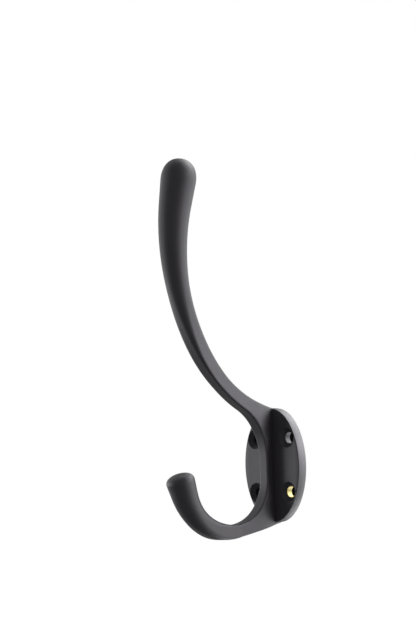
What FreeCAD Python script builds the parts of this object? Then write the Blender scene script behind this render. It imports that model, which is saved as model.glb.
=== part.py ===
"""Double robe hook: one casting with an oval wall plate, a web and two curved arms.

Millimetres. The origin is the centre of the plate's wall face, X runs across
the plate, Y runs into the wall and Z points up. The front of the hook is -Y.
"""
import FreeCAD
import Part
import Sketcher
import os
from math import cos, degrees, pi, radians, sin, sqrt
from FreeCAD import Placement, Rotation, Vector

# Driving sizes, kept in the sheet under the same names.
SIZES = {
    # oval wall plate
    "plate_width": 30.5,
    "plate_height": 46.0,
    "plate_thick": 4.35,
    "plate_edge": 0.4,
    # four countersunk screw holes for 8-gauge wood screws
    "hole_pitch_z": 21.6,
    "hole_rim_gap": 0.564,
    "bore_dia": 4.5,
    "sink_dia": 8.0,
    "sink_angle": 90.0,
    # front strip that stands on the plate and carries both arms
    "strip_width": 5.3,
    "strip_proud": 4.75,
    "strip_above": 3.1,
    "strip_below": 5.4,
    "front_depth": 3.0,
    "edge_round": 0.9,
    "web_foot_width": 2.4,
    "web_foot_reach": 9.0,
    # upper arm: bends out of the strip, sweeps up and leans back at its tip
    "up_root_radius": 24.7,
    "up_root_angle": 62.4,
    "up_sweep_radius": 61.9,
    "up_sweep_angle": 32.1,
    "up_tip_radius": 75.0,
    "up_tip_angle": -9.5,
    "up_neck_length": 13.2,
    "up_joint_angle": 50.0,
    "up_back_depth": 2.6,
    "up_bulb_dia": 13.2,
    "up_dome_length": 8.7,
    # lower arm: a U that ends in a short knob
    "low_root_radius": 20.5,
    "low_root_angle": 72.0,
    "low_bend_radius": 30.0,
    "low_bend_angle": 104.0,
    "low_tip_radius": 23.0,
    "low_tip_angle": 160.5,
    "low_neck_length": 5.4,
    "low_joint_angle": 80.0,
    "low_back_depth": 2.1,
    "low_knob_dia": 11.2,
    "low_dome_length": 3.2,
}

# Sections of each arm before its dome, and the dome's sections as shares of its length.
UP_STATIONS = 18
LOW_STATIONS = 13
DOME_STEPS = (0.3, 0.55, 0.75, 0.9, 0.975, 0.998)

# How an arm thickens: 1 is even along it, more keeps it slim for longer.
UP_GROWTH_POWER = 1.3
LOW_GROWTH_POWER = 1.3

# Share of the arm at which its section has become round.
UP_ROUND_SHARE = 0.55
LOW_ROUND_SHARE = 0.7
TIP_ROUND_SHARE = 0.97

# Shape of the domes: 2 is an ellipse, more is fuller at the shoulder.
UP_DOME_POWER = 2.3
LOW_DOME_POWER = 2.3

# How far the web is set into the plate, and how far its ends stay below the rim.
SEAT_DEPTH = 1.85
SEAT_DROP = 0.15
CLEAR = 1.0
NEAR = 0.01

# Share of the web's narrowing that its side would make without any curve.
FOOT_START = 0.2


def size(name):
    """Return one driving size as a number."""
    return SIZES[name]


def make_sheet(doc):
    """Write the driving sizes into a sheet with one alias a row."""
    sheet = doc.addObject("Spreadsheet::Sheet", "sizes")
    for row, (name, value) in enumerate(SIZES.items(), start=1):
        sheet.set(f"A{row}", name)
        sheet.set(f"B{row}", str(value))
        sheet.setAlias(f"B{row}", name)
    doc.recompute()
    return sheet


def origin_plane(body, role):
    """Return the body's own origin plane with this role."""
    for feature in body.Origin.OriginFeatures:
        if feature.Role == role:
            return feature
    raise ValueError(role)


def new_sketch(body, name, role, offset=None):
    """Add a sketch on an origin plane of the body."""
    sketch = body.newObject("Sketcher::SketchObject", name)
    sketch.AttachmentSupport = [(origin_plane(body, role), "")]
    sketch.MapMode = "FlatFace"
    if offset is not None:
        sketch.AttachmentOffset = offset
    return sketch


def bind(sketch, constraint, name, expression):
    """Name a sketch size and drive it from the sheet."""
    sketch.renameConstraint(constraint, name)
    sketch.setExpression(f"Constraints.{name}", expression)


def check_volume(body, before, grows):
    """Stop when a step did not change the volume the way it should."""
    body.Document.recompute()
    after = body.Shape.Volume
    if grows and after <= before:
        raise ValueError("a step that adds material added none")
    if not grows and after >= before:
        raise ValueError("a cut removed nothing")
    return after


def strip_front():
    """Return y of the strip's front face."""
    return -size("plate_thick") - size("strip_proud")


def centre_start():
    """Return y of the centre line where it runs straight behind the strip."""
    return strip_front() + size("front_depth")


def walk(y, z, lean, radius, end_lean):
    """Follow an arc of the centre line up to another lean.

    The lean is the angle of the direction of travel from +Z towards -Y. A
    growing lean turns the line outwards, a falling lean turns it back.
    """
    side = 1.0 if end_lean > lean else -1.0
    start, end = radians(lean), radians(end_lean)
    centre_y = y - side * radius * cos(start)
    centre_z = z - side * radius * sin(start)
    return centre_y + side * radius * cos(end), centre_z + side * radius * sin(end)


def upper_arcs():
    """Return (radius, lean at its end) of the upper arm's arcs."""
    return (
        (size("up_root_radius"), size("up_root_angle")),
        (size("up_sweep_radius"), size("up_sweep_angle")),
        (size("up_tip_radius"), size("up_tip_angle")),
    )


def lower_arcs():
    """Return (radius, lean at its end) of the lower arm's arcs, mirrored in z."""
    return (
        (size("low_root_radius"), size("low_root_angle")),
        (size("low_bend_radius"), size("low_bend_angle")),
        (size("low_tip_radius"), size("low_tip_angle")),
    )


def point_at(z_start, arcs, travel):
    """Return (y, z, lean) after this travel along the arcs from the strip.

    Travel past the last arc goes on straight ahead.
    """
    y, z, lean = centre_start(), z_start, 0.0
    for radius, end_lean in arcs:
        length = radius * radians(abs(end_lean - lean))
        if travel <= length:
            turn = degrees(travel / radius)
            stop = lean + turn if end_lean > lean else lean - turn
            y, z = walk(y, z, lean, radius, stop)
            return y, z, stop
        y, z = walk(y, z, lean, radius, end_lean)
        lean = end_lean
        travel -= length
    slope = radians(lean)
    return y - travel * sin(slope), z + travel * cos(slope), lean


def travel_to(arcs, arc_number, lean_wanted):
    """Return the travel at which the numbered arc reaches a lean."""
    travel, lean = 0.0, 0.0
    for number, (radius, end_lean) in enumerate(arcs):
        stop = lean_wanted if number == arc_number else end_lean
        travel += radius * radians(abs(stop - lean))
        if number == arc_number:
            return travel
        lean = end_lean
    return travel


def offset_point(place, depth):
    """Return (y, z) at a depth behind the centre line, across its direction."""
    y, z, lean = place
    return y + depth * cos(radians(lean)), z + depth * sin(radians(lean))


def mirrored(point):
    """Return the point mirrored in z."""
    return point[0], -point[1]


def arc_between(first, middle, last):
    """Return a sketch arc through three (y, z) points."""
    points = [Vector(y, z, 0) for y, z in (first, middle, last)]
    return Part.Arc(*points)


def tangent_arc_middle(start, lean, end):
    """Return the middle point of the arc that leaves start along lean and ends at end."""
    across = Vector(cos(radians(lean)), sin(radians(lean)), 0)
    chord = Vector(end[0] - start[0], end[1] - start[1], 0)
    radius = chord.dot(chord) / (2.0 * chord.dot(across))
    centre = Vector(start[0], start[1], 0) + across * radius
    halfway = Vector((start[0] + end[0]) / 2, (start[1] + end[1]) / 2, 0) - centre
    middle = centre + halfway.normalize() * abs(radius)
    return middle.x, middle.y


def half_outline(z_start, arcs, joint_travel, back_depth):
    """Return the web's points for one arm, from the strip to the plate.

    Each entry is (middle of the arc or None, end point).
    """
    front = -size("front_depth")
    root_travel = travel_to(arcs, 0, arcs[0][1])
    stops = [root_travel / 2, root_travel, (root_travel + joint_travel) / 2, joint_travel]
    bend = [offset_point(point_at(z_start, arcs, stop), front) for stop in stops]
    joint = point_at(z_start, arcs, joint_travel)
    back = offset_point(joint, back_depth)
    seat = (-size("plate_thick") + SEAT_DEPTH, size("plate_height") / 2 - SEAT_DROP)
    return [
        (bend[0], bend[1]),
        (bend[2], bend[3]),
        (None, back),
        (tangent_arc_middle(back, joint[2], seat), seat),
    ]


def web_outline():
    """Return the closed web outline as (start, middle or None, end) edges."""
    above = half_outline(size("strip_above"), upper_arcs(), up_joint(), size("up_back_depth"))
    below = half_outline(size("strip_below"), lower_arcs(), low_joint(), size("low_back_depth"))
    edges = []
    point = (strip_front(), size("strip_above"))
    for middle, end in above:
        edges.append((point, middle, end))
        point = end
    path = [(strip_front(), -size("strip_below"))]
    middles = []
    for middle, end in below:
        middles.append(None if middle is None else mirrored(middle))
        path.append(mirrored(end))
    edges.append((point, None, path[-1]))
    for index in range(len(middles) - 1, -1, -1):
        edges.append((path[index + 1], middles[index], path[index]))
    edges.append((path[0], None, (strip_front(), size("strip_above"))))
    return edges


def up_joint():
    """Return the travel at which the web hands over to the upper arm."""
    return travel_to(upper_arcs(), 1, size("up_joint_angle"))


def low_joint():
    """Return the travel at which the web hands over to the lower arm."""
    return travel_to(lower_arcs(), 1, size("low_joint_angle"))


def add_web(body):
    """Pad the web's side outline across the hook and round its long edges."""
    sketch = new_sketch(body, "web_outline", "YZ_Plane")
    for start, middle, end in web_outline():
        if middle is None:
            sketch.addGeometry(Part.LineSegment(Vector(*start, 0), Vector(*end, 0)), False)
        else:
            sketch.addGeometry(arc_between(start, middle, end), False)
    pad = body.newObject("PartDesign::Pad", "web")
    pad.Profile = sketch
    pad.Midplane = True
    pad.setExpression("Length", "sizes.strip_width")
    body.Document.recompute()
    edges = [f"Edge{n}" for n, edge in enumerate(pad.Shape.Edges, start=1) if is_long_side(edge)]
    fillet = body.newObject("PartDesign::Fillet", "web_rounds")
    fillet.Base = (pad, edges)
    fillet.setExpression("Radius", "sizes.edge_round")
    body.Document.recompute()


def is_long_side(edge):
    """Tell whether an edge runs along the web's side and can be seen."""
    across = abs(edge.Vertexes[0].X - edge.Vertexes[-1].X)
    if across > NEAR:
        return False
    middle = edge.valueAt((edge.FirstParameter + edge.LastParameter) / 2)
    if middle.y > -size("plate_thick") + SEAT_DEPTH - NEAR:
        return False
    return not is_joint(middle)


def is_joint(point):
    """Tell whether a point lies on one of the two faces that carry an arm."""
    for z_start, arcs, travel, flip in (
        (size("strip_above"), upper_arcs(), up_joint(), 1.0),
        (size("strip_below"), lower_arcs(), low_joint(), -1.0),
    ):
        y, z, lean = point_at(z_start, arcs, travel)
        ahead = (y - point.y) * sin(radians(lean)) + (flip * point.z - z) * cos(radians(lean))
        if abs(ahead) < NEAR:
            return True
    return False


def foot_side(outer, y):
    """Return the web's half width at y, inside the stretch that narrows to the plate.

    The side leaves the strip's width with a faint slope and curves inwards.
    """
    reach = size("web_foot_reach")
    narrowing = (size("strip_width") - size("web_foot_width")) / 2
    share = (y - outer) / reach
    return size("strip_width") / 2 - narrowing * share * (FOOT_START + (1.0 - FOOT_START) * share)


def trim_web_foot(body):
    """Hollow both sides of the web so that it narrows towards the plate."""
    foot = -size("plate_thick")
    outer = foot - size("web_foot_reach")
    stops = (outer - NEAR, (outer + foot) / 2, foot + SEAT_DEPTH + NEAR)
    halves = [foot_side(outer, stop) for stop in stops]
    aside = size("strip_width") / 2 + CLEAR
    sketch = new_sketch(body, "web_sides", "XY_Plane")
    for side in (1.0, -1.0):
        curve = [Vector(side * half, stop, 0) for half, stop in zip(halves, stops)]
        corners = [
            curve[-1],
            Vector(side * aside, stops[-1], 0),
            Vector(side * aside, stops[0], 0),
            curve[0],
        ]
        sketch.addGeometry(Part.Arc(*curve), False)
        for start, end in zip(corners, corners[1:]):
            sketch.addGeometry(Part.LineSegment(start, end), False)
    before = body.Shape.Volume
    pocket = body.newObject("PartDesign::Pocket", "web_taper")
    pocket.Profile = sketch
    pocket.Midplane = True
    pocket.Type = "Length"
    pocket.Length = 4.0 * size("plate_height")
    check_volume(body, before, grows=False)


def add_section(body, name, place, width, depth, corner, shift=0.0):
    """Add a rounded rectangle across the centre line.

    Width, depth and corner are (number, expression) pairs.
    """
    y, z, turn = place
    offset = Placement(Vector(0, y, z), Rotation(Vector(1, 0, 0), turn))
    sketch = new_sketch(body, name, "XY_Plane", offset * Placement(Vector(0, shift, 0), Rotation()))
    half_w, half_d, radius = width[0] / 2, depth[0] / 2, corner[0]
    flat_w, flat_d = half_w - radius, half_d - radius
    lines = [
        (Vector(-flat_w, -half_d, 0), Vector(flat_w, -half_d, 0)),
        (Vector(half_w, -flat_d, 0), Vector(half_w, flat_d, 0)),
        (Vector(flat_w, half_d, 0), Vector(-flat_w, half_d, 0)),
        (Vector(-half_w, flat_d, 0), Vector(-half_w, -flat_d, 0)),
    ]
    centres = [
        Vector(flat_w, -flat_d, 0),
        Vector(flat_w, flat_d, 0),
        Vector(-flat_w, flat_d, 0),
        Vector(-flat_w, -flat_d, 0),
    ]
    for index in range(4):
        start_angle = -pi / 2 + index * pi / 2
        circle = Part.Circle(centres[index], Vector(0, 0, 1), radius)
        sketch.addGeometry(Part.LineSegment(*lines[index]), False)
        sketch.addGeometry(Part.ArcOfCircle(circle, start_angle, start_angle + pi / 2), False)
    rules = []
    for index in range(4):
        line, arc, following = 2 * index, 2 * index + 1, (2 * index + 2) % 8
        rules.append(Sketcher.Constraint("Tangent", line, 2, arc, 1))
        rules.append(Sketcher.Constraint("Tangent", arc, 2, following, 1))
    rules.append(Sketcher.Constraint("Horizontal", 0))
    rules.append(Sketcher.Constraint("Vertical", 2))
    rules.append(Sketcher.Constraint("Horizontal", 4))
    rules.append(Sketcher.Constraint("Vertical", 6))
    for arc in (3, 5, 7):
        rules.append(Sketcher.Constraint("Equal", 1, arc))
    rules.append(Sketcher.Constraint("Symmetric", 0, 1, 4, 1, -1, 1))
    sketch.addConstraint(rules)
    span = sketch.addConstraint(Sketcher.Constraint("DistanceX", 6, 1, 2, 1, width[0]))
    bind(sketch, span, "width", width[1])
    span = sketch.addConstraint(Sketcher.Constraint("DistanceY", 0, 1, 4, 1, depth[0]))
    bind(sketch, span, "depth", depth[1])
    span = sketch.addConstraint(Sketcher.Constraint("Radius", 1, corner[0]))
    bind(sketch, span, "corner", corner[1])
    return sketch


def blend(first, last, share, scale):
    """Return (number, expression) of a size between two driving sizes."""
    (first_value, first_text), (last_value, last_text) = first, last
    value = (first_value + (last_value - first_value) * share) * scale
    text = f"({first_text} + ({last_text} - {first_text}) * {share:.6f}) * {scale:.6f}"
    return value, text


def named(*names):
    """Return (number, expression) of the sum of driving sizes."""
    value = sum(size(name) for name in names)
    return value, "(" + " + ".join(f"sizes.{name}" for name in names) + ")"


def smooth(share):
    """Ease a share from 0 to 1 with flat ends."""
    share = min(max(share, 0.0), 1.0)
    return share * share * (3.0 - 2.0 * share)


def section_sizes(arm, share, scale):
    """Return width, depth and corner radius of a section at a share of the arm."""
    tip = named(arm["tip_dia"])
    grown = share ** arm["growth"]
    width = blend(named("strip_width"), tip, grown, scale)
    depth = blend(named("front_depth", arm["back_depth"]), tip, grown, scale)
    rounding = smooth(share / arm["round_by"])
    start = 2.0 * size("edge_round") / size("strip_width")
    part_round = start + (TIP_ROUND_SHARE - start) * rounding
    narrow = width if width[0] <= depth[0] else depth
    corner = (narrow[0] / 2 * part_round, f"{narrow[1]} / 2 * {part_round:.6f}")
    return width, depth, corner


def arm_places(arm):
    """Return (travel, share, scale) of each section from the joint to the tip."""
    count = arm["stations"]
    start, end = arm["joint"], arm["equator"]
    places = []
    for index in range(count):
        share = index / count
        places.append((start + (end - start) * share, share, 1.0))
    for step in DOME_STEPS:
        scale = (1.0 - step ** arm["dome_power"]) ** (1.0 / arm["dome_power"])
        places.append((end + step * arm["dome_length"], 1.0, scale))
    return places


def add_arm(body, arm):
    """Loft one arm through its sections and close it with a dome."""
    before = body.Shape.Volume
    sketches = []
    for number, (travel, share, scale) in enumerate(arm_places(arm)):
        y, z, lean = point_at(arm["z_start"], arm["arcs"], travel)
        width, depth, corner = section_sizes(arm, share, scale)
        shift = (size(arm["back_depth"]) - size("front_depth")) / 2 * (1.0 - share)
        place = (y, arm["flip"] * z, arm["flip"] * lean)
        name = f"{arm['name']}_section_{number:02d}"
        sketches.append(add_section(body, name, place, width, depth, corner, shift))
    loft = body.newObject("PartDesign::AdditiveLoft", arm["name"])
    loft.Profile = sketches[0]
    loft.Sections = sketches[1:]
    loft.Ruled = True
    check_volume(body, before, grows=True)


def upper_arm():
    """Return what the upper arm's loft needs."""
    arcs = upper_arcs()
    return {
        "name": "upper_arm",
        "arcs": arcs,
        "z_start": size("strip_above"),
        "flip": 1.0,
        "joint": up_joint(),
        "equator": travel_to(arcs, 2, size("up_tip_angle")) + size("up_neck_length"),
        "back_depth": "up_back_depth",
        "tip_dia": "up_bulb_dia",
        "growth": UP_GROWTH_POWER,
        "round_by": UP_ROUND_SHARE,
        "stations": UP_STATIONS,
        "dome_power": UP_DOME_POWER,
        "dome_length": size("up_dome_length"),
    }


def lower_arm():
    """Return what the lower arm's loft needs."""
    arcs = lower_arcs()
    return {
        "name": "lower_arm",
        "arcs": arcs,
        "z_start": size("strip_below"),
        "flip": -1.0,
        "joint": low_joint(),
        "equator": travel_to(arcs, 2, size("low_tip_angle")) + size("low_neck_length"),
        "back_depth": "low_back_depth",
        "tip_dia": "low_knob_dia",
        "growth": LOW_GROWTH_POWER,
        "round_by": LOW_ROUND_SHARE,
        "stations": LOW_STATIONS,
        "dome_power": LOW_DOME_POWER,
        "dome_length": size("low_dome_length"),
    }


def add_oval(body, name, level, level_text, trim):
    """Add the plate's oval at a distance in front of the wall face."""
    offset = Placement(Vector(0, 0, level), Rotation())
    sketch = new_sketch(body, name, "XZ_Plane", offset)
    sketch.setExpression("AttachmentOffset.Base.z", level_text)
    half_width = size("plate_width") / 2 - trim[0]
    half_height = size("plate_height") / 2 - trim[0]
    top = Vector(0, half_height, 0)
    side = Vector(half_width, 0, 0)
    oval = sketch.addGeometry(Part.Ellipse(top, side, Vector(0, 0, 0)), False)
    sketch.exposeInternalGeometry(oval)
    sketch.addConstraint(Sketcher.Constraint("Coincident", oval, 3, -1, 1))
    sketch.addConstraint(Sketcher.Constraint("PointOnObject", oval + 1, 1, -2))
    sketch.addConstraint(Sketcher.Constraint("Distance", oval + 1, 2 * half_height))
    bind(sketch, sketch.ConstraintCount - 1, "height", f"sizes.plate_height - 2 * {trim[1]}")
    sketch.addConstraint(Sketcher.Constraint("Distance", oval + 2, 2 * half_width))
    bind(sketch, sketch.ConstraintCount - 1, "width", f"sizes.plate_width - 2 * {trim[1]}")
    return sketch


def add_plate(body):
    """Pad the oval plate and narrow it slightly at its front edge."""
    before = body.Shape.Volume
    square = size("plate_thick") - size("plate_edge")
    square_text = "sizes.plate_thick - sizes.plate_edge"
    none = (0.0, "0")
    base = add_oval(body, "plate_oval", 0.0, "0", none)
    pad = body.newObject("PartDesign::Pad", "plate")
    pad.Profile = base
    pad.setExpression("Length", square_text)
    before = check_volume(body, before, grows=True)
    shoulder = add_oval(body, "plate_shoulder", square, square_text, none)
    rim = (size("plate_edge"), "sizes.plate_edge")
    front = add_oval(body, "plate_front", size("plate_thick"), "sizes.plate_thick", rim)
    loft = body.newObject("PartDesign::AdditiveLoft", "plate_edge_break")
    loft.Profile = shoulder
    loft.Sections = [front]
    loft.Ruled = True
    check_volume(body, before, grows=True)


def hole_reach():
    """Return (number, expression) of a hole's distance from the plate's middle line.

    The countersink keeps its gap to the plate's rim at the height of the hole.
    """
    share = size("hole_pitch_z") / size("plate_height")
    rim = size("plate_width") / 2 * sqrt(1.0 - share * share)
    reach = rim - size("sink_dia") / 2 - size("hole_rim_gap")
    share_text = "(sizes.hole_pitch_z / sizes.plate_height)"
    rim_text = f"sizes.plate_width / 2 * sqrt(1 - {share_text} * {share_text})"
    return reach, f"({rim_text} - sizes.sink_dia / 2 - sizes.hole_rim_gap)"


def add_screw_holes(body):
    """Cut the four countersunk holes through the plate."""
    before = body.Shape.Volume
    offset = Placement(Vector(0, 0, size("plate_thick")), Rotation())
    sketch = new_sketch(body, "screw_pattern", "XZ_Plane", offset)
    sketch.setExpression("AttachmentOffset.Base.z", "sizes.plate_thick")
    half_z = size("hole_pitch_z") / 2
    half_x, half_x_text = hole_reach()
    for number, (side, end) in enumerate(((1, 1), (-1, 1), (-1, -1), (1, -1)), start=1):
        centre = Vector(side * half_x, end * half_z, 0)
        hole = sketch.addGeometry(Part.Circle(centre, Vector(0, 0, 1), size("bore_dia") / 2), False)
        across = sketch.addConstraint(Sketcher.Constraint("DistanceX", -1, 1, hole, 3, side * half_x))
        bind(sketch, across, f"across_{number}", f"{side} * {half_x_text}")
        upward = sketch.addConstraint(Sketcher.Constraint("DistanceY", -1, 1, hole, 3, end * half_z))
        bind(sketch, upward, f"up_{number}", f"{end} * sizes.hole_pitch_z / 2")
        bore = sketch.addConstraint(Sketcher.Constraint("Diameter", hole, size("bore_dia")))
        bind(sketch, bore, f"bore_{number}", "sizes.bore_dia")
    body.Document.recompute()
    hole = body.newObject("PartDesign::Hole", "screw_holes")
    hole.Profile = sketch
    hole.ThreadType = "None"
    hole.DepthType = "ThroughAll"
    hole.HoleCutType = "Countersink"
    hole.HoleCutCustomValues = True
    hole.setExpression("Diameter", "sizes.bore_dia")
    hole.setExpression("HoleCutDiameter", "sizes.sink_dia")
    hole.setExpression("HoleCutCountersinkAngle", "sizes.sink_angle")
    check_volume(body, before, grows=False)


def make_hook(doc):
    """Build the whole casting in one body."""
    body = doc.addObject("PartDesign::Body", "hook_casting")
    body.Label = "hook_casting"
    add_web(body)
    trim_web_foot(body)
    add_arm(body, upper_arm())
    add_arm(body, lower_arm())
    add_plate(body)
    add_screw_holes(body)
    return body


def check_document(doc):
    """Stop when an object of the document is not sound."""
    for item in doc.Objects:
        if "Invalid" in item.State or "Error" in item.State:
            raise ValueError(f"{item.Name}: {item.State}")


def export(body):
    """Write the finished body as a STEP file named after it."""
    shape = body.Shape
    if shape.isNull() or not shape.isValid() or len(shape.Solids) != 1:
        raise ValueError(f"{body.Label} is not one sound solid")
    os.makedirs("parts", exist_ok=True)
    shape.exportStep(f"parts/{body.Label}.step")


def main():
    """Build, check and export the hook."""
    doc = FreeCAD.newDocument("double_robe_hook")
    make_sheet(doc)
    body = make_hook(doc)
    doc.recompute()
    check_document(doc)
    export(body)
    box = body.Shape.BoundBox
    print(f"{body.Label}: {box.XLength:.2f} x {box.YLength:.2f} x {box.ZLength:.2f} mm")
    print(f"z from {box.ZMin:.2f} to {box.ZMax:.2f}, y from {box.YMin:.2f} to {box.YMax:.2f}")
    print(f"volume {body.Shape.Volume:.0f} mm3, faces {len(body.Shape.Faces)}")


main()
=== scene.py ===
"""Studio scene of a double robe hook: one satin black casting with an oval wall plate.

Metres, in the model's own frame: X across the plate, +Y into the wall, Z up. The
hook's sizes are written in millimetres and turned to metres where meshes are made.
"""

import logging
import math
from dataclasses import dataclass, field
from enum import Enum

import bmesh
import bpy
from mathutils import Matrix, Vector

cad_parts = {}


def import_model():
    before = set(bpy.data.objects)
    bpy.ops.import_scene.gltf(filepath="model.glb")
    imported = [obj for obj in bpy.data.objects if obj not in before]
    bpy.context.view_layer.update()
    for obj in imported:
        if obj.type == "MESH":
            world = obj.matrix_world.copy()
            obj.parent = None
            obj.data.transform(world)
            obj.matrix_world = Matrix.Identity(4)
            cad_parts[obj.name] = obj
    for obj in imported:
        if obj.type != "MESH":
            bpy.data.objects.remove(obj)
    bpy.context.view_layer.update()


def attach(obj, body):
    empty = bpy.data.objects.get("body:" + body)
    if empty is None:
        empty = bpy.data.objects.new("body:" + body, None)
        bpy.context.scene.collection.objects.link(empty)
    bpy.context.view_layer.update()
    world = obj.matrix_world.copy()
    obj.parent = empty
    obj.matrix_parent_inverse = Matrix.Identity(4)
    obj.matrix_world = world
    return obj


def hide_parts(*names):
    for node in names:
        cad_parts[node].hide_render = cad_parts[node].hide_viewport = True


LOG = logging.getLogger("robe_hook")
MM = 0.001
NODE = "hook_casting"
BODY = "root"
MATHS = "ShaderNodeMath"
WHITE = (1.0, 1.0, 1.0, 1.0)


class Side(Enum):
    """Which arm is meant: the tall one, whose z runs up, or the curled one."""

    UPPER = 1.0
    LOWER = -1.0


def to_linear(hex_colour: str) -> tuple[float, float, float, float]:
    """Turn an sRGB hex colour into linear values.

    Args:
        hex_colour: Six hex digits after a hash.

    Returns:
        Linear red, green and blue, and alpha 1.
    """
    channels = [int(hex_colour[index:index + 2], 16) / 255.0 for index in (1, 3, 5)]
    linear = [c / 12.92 if c <= 0.04045 else ((c + 0.055) / 1.055) ** 2.4 for c in channels]
    return linear[0], linear[1], linear[2], 1.0


def held(share: float) -> float:
    """Hold a share between 0 and 1."""
    return min(max(share, 0.0), 1.0)


def smooth_step(share: float) -> float:
    """Ease a share from 0 to 1 with flat ends."""
    share = held(share)
    return share * share * (3.0 - 2.0 * share)


def add_node(
    tree: bpy.types.NodeTree,
    kind: str,
    settings: dict[str, object] | None = None,
    links: dict[str | int, object] | None = None,
) -> bpy.types.Node:
    """Add one node, set its properties and fill or link its inputs.

    Args:
        tree: The tree that gets the node.
        kind: The node's type name.
        settings: Properties of the node itself.
        links: Input name or number to a value, to another node, which stands for
            its first output, or to one output of another node.

    Returns:
        The new node.
    """
    node = tree.nodes.new(kind)
    for name, value in (settings or {}).items():
        setattr(node, name, value)
    for name, value in (links or {}).items():
        if isinstance(value, bpy.types.Node):
            value = value.outputs[0]
        if isinstance(value, bpy.types.NodeSocket):
            tree.links.new(value, node.inputs[name])
        else:
            node.inputs[name].default_value = value
    return node


def start_tree(name: str, sizes: dict[str, str]) -> tuple[bpy.types.NodeTree, bpy.types.Node]:
    """Start a Geometry Nodes tree that takes a shape and a finish and returns a shape.

    Args:
        name: The tree's name.
        sizes: Names of its other inputs, each with its type of socket.

    Returns:
        The tree and the node that holds its inputs.
    """
    tree = bpy.data.node_groups.new(name, "GeometryNodeTree")
    wanted = {"Geometry": "Geometry", **sizes, "Finish": "Material"}
    for label, kind in wanted.items():
        tree.interface.new_socket(label, in_out="INPUT", socket_type=f"NodeSocket{kind}")
    tree.interface.new_socket("Geometry", in_out="OUTPUT", socket_type="NodeSocketGeometry")
    return tree, add_node(tree, "NodeGroupInput")


def end_tree(tree: bpy.types.NodeTree, shape: bpy.types.Node, inputs: bpy.types.Node) -> None:
    """End a tree in real geometry that wears its finish.

    Args:
        tree: The tree to end.
        shape: The node that holds the finished shape.
        inputs: The node that holds the tree's inputs.
    """
    real = add_node(tree, "GeometryNodeRealizeInstances", {}, {"Geometry": shape})
    dressed = add_node(tree, "GeometryNodeSetMaterial", {}, {
        "Geometry": real, "Material": inputs.outputs["Finish"],
    })
    add_node(tree, "NodeGroupOutput", {}, {"Geometry": dressed})


def empty_material(name: str) -> bpy.types.Material:
    """Make a material whose tree has no node yet.

    Args:
        name: The material's name.

    Returns:
        The material.
    """
    material = bpy.data.materials.new(name)
    material.use_nodes = True
    material.node_tree.nodes.clear()
    return material


def mesh_object(name: str, mesh: bpy.types.Mesh) -> bpy.types.Object:
    """Put a mesh into the scene as an object at the origin.

    Args:
        name: The object's name.
        mesh: Its mesh.

    Returns:
        The object.
    """
    item = bpy.data.objects.new(name, mesh)
    bpy.context.scene.collection.objects.link(item)
    return item


def shell_object(name: str, shell: bmesh.types.BMesh) -> bpy.types.Object:
    """Turn a worked shell into an object and free the shell.

    Args:
        name: The object's name.
        shell: The closed shell.

    Returns:
        The object, with all its faces pointing outwards.
    """
    bmesh.ops.recalc_face_normals(shell, faces=shell.faces)
    mesh = bpy.data.meshes.new(name)
    shell.to_mesh(mesh)
    shell.free()
    return mesh_object(name, mesh)


def bake_modifiers(item: bpy.types.Object) -> bpy.types.Object:
    """Replace an object's mesh by its evaluated one and drop its modifiers.

    Args:
        item: The object to settle.

    Returns:
        The same object with a plain mesh.
    """
    graph = bpy.context.evaluated_depsgraph_get()
    graph.update()
    mesh = bpy.data.meshes.new_from_object(item.evaluated_get(graph))
    item.modifiers.clear()
    item.data = mesh
    return item


def run_tree(
    item: bpy.types.Object, tree: bpy.types.NodeTree, values: dict[str, object]
) -> bpy.types.Object:
    """Run a Geometry Nodes tree on an object and keep the result as its mesh.

    Args:
        item: The object.
        tree: The tree.
        values: The tree's inputs by name.

    Returns:
        The same object with a plain mesh.
    """
    modifier = item.modifiers.new(tree.name, "NODES")
    modifier.node_group = tree
    for socket in tree.interface.items_tree:
        if socket.name in values:
            modifier[socket.identifier] = values[socket.name]
    return bake_modifiers(item)


def unite(item: bpy.types.Object, other: bpy.types.Object) -> None:
    """Grow an object by another one and remove the other.

    Args:
        item: The object that grows.
        other: The object that goes into it.
    """
    join = item.modifiers.new("join", "BOOLEAN")
    join.operation = "UNION"
    join.solver = "EXACT"
    join.object = other
    bake_modifiers(item)
    bpy.data.objects.remove(other)


def weld(mesh: bpy.types.Mesh, gap: float) -> None:
    """Merge a mesh's corners that lie on each other, with the empty faces between them.

    Args:
        mesh: The mesh.
        gap: The widest gap in mm that is closed.
    """
    skin = bmesh.new()
    skin.from_mesh(mesh)
    bmesh.ops.remove_doubles(skin, verts=skin.verts, dist=gap * MM)
    skin.to_mesh(mesh)
    skin.free()


@dataclass(frozen=True)
class Stop:
    """A place on an arm's centre line: y and z in mm and the lean in radians."""

    y: float
    z: float
    lean: float

    def behind(self, depth: float) -> tuple[float, float]:
        """Return (y, z) at a depth behind the centre line."""
        return self.y + depth * math.cos(self.lean), self.z + depth * math.sin(self.lean)


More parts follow.
